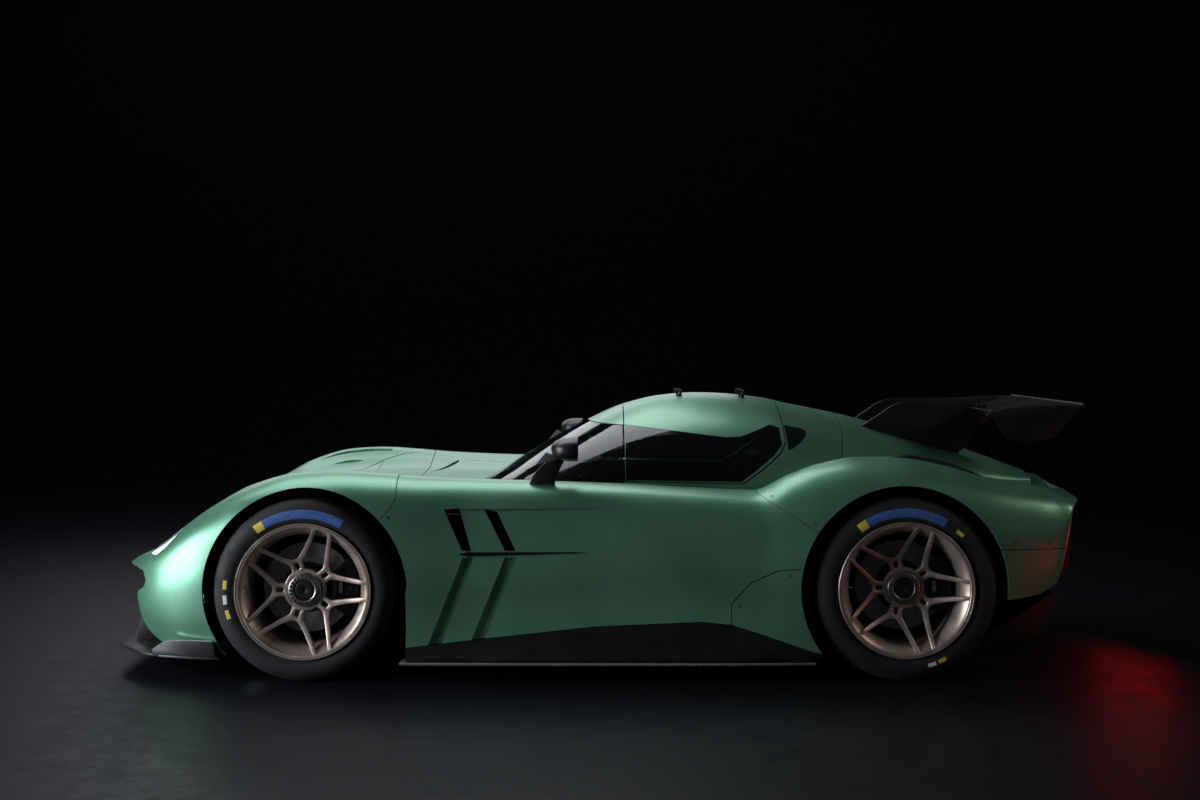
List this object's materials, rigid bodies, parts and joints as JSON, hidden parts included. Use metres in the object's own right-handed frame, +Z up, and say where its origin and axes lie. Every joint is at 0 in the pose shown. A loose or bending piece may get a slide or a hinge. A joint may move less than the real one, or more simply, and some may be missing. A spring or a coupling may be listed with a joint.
{
  "type": "hypercar",
  "caption": "Track hypercar: low two-seat coupe with upward-opening doors, steered front wheels, freely turning wheels, a rear wing on two fins and a full carbon floor.",
  "frame": {"origin": "on the road, under the middle of the car's overall length and width", "axes": "+X towards the tail, +Y to the car's right side, +Z up"},
  "size_m": [4.236, 1.99, 1.194],
  "materials": {
    "paint": "satin metallic green",
    "black_carbon": "satin black carbon fibre",
    "tinted_glass": "dark tint",
    "bronze_alloy": "satin bronze",
    "tyre_rubber": "matt",
    "disc": "ground face",
    "steel": "heat-tinted",
    "cast_alloy": "as cast",
    "cabin_trim": "woven",
    "lamp_lens": "clear"
  },
  "bodies": {
    "body": {"bonnet": "paint", "cabin_tub": "black_carbon", "dashboard": "cabin_trim", "diffuser": "black_carbon", "engine_block": "cast_alloy", "exhaust": "steel", "fin_left": "black_carbon", "fin_right": "black_carbon", "floor_pan": "black_carbon", "front_clam": "paint", "front_splitter": "black_carbon", "front_suspension": "cast_alloy", "headlamp_left": "lamp_lens", "headlamp_right": "lamp_lens", "mirror_left": "black_carbon", "mirror_right": "black_carbon", "quarter_glass_left": "tinted_glass", "quarter_glass_right": "tinted_glass", "rear_bumper": "paint", "rear_clam": "paint", "rear_grille": "black_carbon", "rear_quarter_left": "paint", "rear_quarter_right": "paint", "rear_suspension": "cast_alloy", "rear_wing": "black_carbon", "roof_frame": "paint", "seat_left": "cabin_trim", "seat_right": "cabin_trim", "side_panel_left": "paint", "side_panel_right": "paint", "skirt_left": "black_carbon", "skirt_right": "black_carbon", "upright_rear_left": "cast_alloy", "upright_rear_right": "cast_alloy", "windscreen": "tinted_glass"},
    "door_left": {"door_left": "paint", "door_glass_left": "tinted_glass"},
    "door_right": {"door_right": "paint", "door_glass_right": "tinted_glass"},
    "knuckle_left": {"upright_front_left": "cast_alloy"},
    "knuckle_right": {"upright_front_right": "cast_alloy"},
    "steering_wheel": {"steering_wheel": "cabin_trim"},
    "wheel_front_left": {"tyre_front_left": "tyre_rubber", "rim_front_left": "bronze_alloy", "disc_front_left": "disc"},
    "wheel_front_right": {"tyre_front_right": "tyre_rubber", "rim_front_right": "bronze_alloy", "disc_front_right": "disc"},
    "wheel_rear_left": {"tyre_rear_left": "tyre_rubber", "rim_rear_left": "bronze_alloy", "disc_rear_left": "disc"},
    "wheel_rear_right": {"tyre_rear_right": "tyre_rubber", "rim_rear_right": "bronze_alloy", "disc_rear_right": "disc"}
  },
  "joints": [
    {"name": "door_left_open", "type": "hinge", "parent": "body", "child": "door_left", "pos_m": [0.5075, -0.105, 1.187], "axis": [-1, 0, 0], "range_deg": [0, 75]},
    {"name": "door_right_open", "type": "hinge", "parent": "body", "child": "door_right", "pos_m": [0.5075, 0.105, 1.187], "axis": [1, 0, 0], "range_deg": [0, 75]},
    {"name": "steer_left", "type": "hinge", "parent": "body", "child": "knuckle_left", "pos_m": [-1.248, -0.7545, 0.381], "axis": [0, 0, 1], "range_deg": [-18, 18]},
    {"name": "steer_right", "type": "hinge", "parent": "body", "child": "knuckle_right", "pos_m": [-1.248, 0.7545, 0.381], "axis": [0, 0, 1], "range_deg": [-18, 18]},
    {"name": "spin_front_left", "type": "hinge", "parent": "knuckle_left", "child": "wheel_front_left", "pos_m": [-1.248, -0.82, 0.381], "axis": [0, 1, 0], "continuous": true},
    {"name": "spin_front_right", "type": "hinge", "parent": "knuckle_right", "child": "wheel_front_right", "pos_m": [-1.248, 0.82, 0.381], "axis": [0, 1, 0], "continuous": true},
    {"name": "spin_rear_left", "type": "hinge", "parent": "body", "child": "wheel_rear_left", "pos_m": [1.263, -0.79, 0.386], "axis": [0, 1, 0], "continuous": true},
    {"name": "spin_rear_right", "type": "hinge", "parent": "body", "child": "wheel_rear_right", "pos_m": [1.263, 0.79, 0.386], "axis": [0, 1, 0], "continuous": true},
    {"name": "steering_wheel_turn", "type": "hinge", "parent": "body", "child": "steering_wheel", "pos_m": [0.055, -0.28, 0.7], "axis": [0.9511, 0, 0.309], "range_deg": [-180, 180]}
  ],
  "couplings": [
    {"joint": "steer_right", "follows": "steer_left", "ratio": 1},
    {"joint": "steering_wheel_turn", "follows": "steer_left", "ratio": 10}
  ]
}
